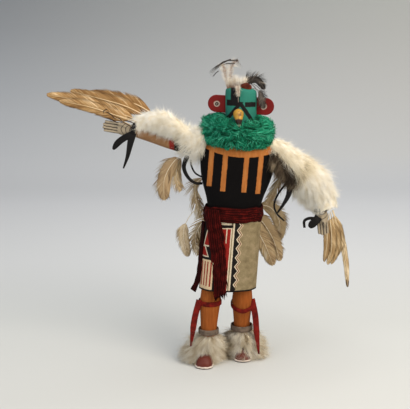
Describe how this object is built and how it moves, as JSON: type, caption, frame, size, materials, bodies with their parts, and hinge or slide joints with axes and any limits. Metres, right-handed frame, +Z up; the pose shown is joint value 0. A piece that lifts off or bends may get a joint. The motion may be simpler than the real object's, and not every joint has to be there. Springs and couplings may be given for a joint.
{
  "type": "kachina doll",
  "caption": "Carved and painted wooden figure in a beaked mask and winged dancer's dress of fur, feathers, yarn, leather and woven cloth, standing on its feet.",
  "frame": {"origin": "middle of the doll's own box in plan, on the ground under its soles", "axes": "+Z up; the doll faces -Y, so its right hand and the raised wing are towards -X"},
  "size_m": [0.2962, 0.0576, 0.2979],
  "materials": {
    "black_paint": "satin",
    "turquoise_paint": "satin",
    "red_paint": "satin",
    "skin_paint": "satin",
    "yellow_paint": "satin",
    "brown_paint": "satin",
    "green_yarn": "matte",
    "white_fur": "matte",
    "cream_fur": "matte",
    "tan_feather": "satin",
    "pale_feather": "satin",
    "crest_feather": "matte",
    "black_leather": "satin",
    "red_leather": "satin",
    "grey_leather": "matte",
    "kilt_leather": "matte",
    "red_cloth": "matte"
  },
  "bodies": {
    "root": {"body": "black_paint", "head": "turquoise_paint", "right_ear": "red_paint", "left_ear": "red_paint", "right_arm": "skin_paint", "left_arm": "skin_paint", "beak": "yellow_paint", "right_moccasin": "brown_paint", "left_moccasin": "brown_paint", "neck_ruff": "green_yarn", "right_sleeve_fur": "white_fur", "left_sleeve_fur": "white_fur", "right_ankle_fur": "cream_fur", "left_ankle_fur": "cream_fur", "right_wing_feather_1": "tan_feather", "right_wing_feather_2": "tan_feather", "right_wing_feather_3": "tan_feather", "right_wing_feather_4": "tan_feather", "left_wing_feather_1": "tan_feather", "left_wing_feather_2": "tan_feather", "left_wing_feather_3": "tan_feather", "left_wing_feather_4": "tan_feather", "left_wing_feather_5": "tan_feather", "tail_feather_1": "pale_feather", "tail_feather_2": "pale_feather", "tail_feather_3": "pale_feather", "tail_feather_4": "pale_feather", "tail_feather_5": "pale_feather", "tail_feather_6": "pale_feather", "tail_feather_7": "pale_feather", "right_arm_plume_1": "pale_feather", "right_arm_plume_2": "pale_feather", "left_arm_plume": "pale_feather", "right_back_feather": "pale_feather", "crest_feather_1": "crest_feather", "crest_feather_2": "crest_feather", "crest_feather_3": "crest_feather", "crest_feather_4": "crest_feather", "crest_feather_5": "crest_feather", "right_wrist_tie": "black_leather", "left_wrist_tie": "black_leather", "right_arm_thong_1": "black_leather", "right_arm_thong_2": "black_leather", "left_arm_thong_1": "black_leather", "left_arm_thong_2": "black_leather", "crest_tie": "red_leather", "right_garter": "red_leather", "left_garter": "red_leather", "right_ankle_band": "grey_leather", "left_ankle_band": "grey_leather", "kilt": "kilt_leather", "sash_belt": "red_cloth", "sash_front": "red_cloth", "sash_side": "red_cloth"}
  },
  "joints": []
}
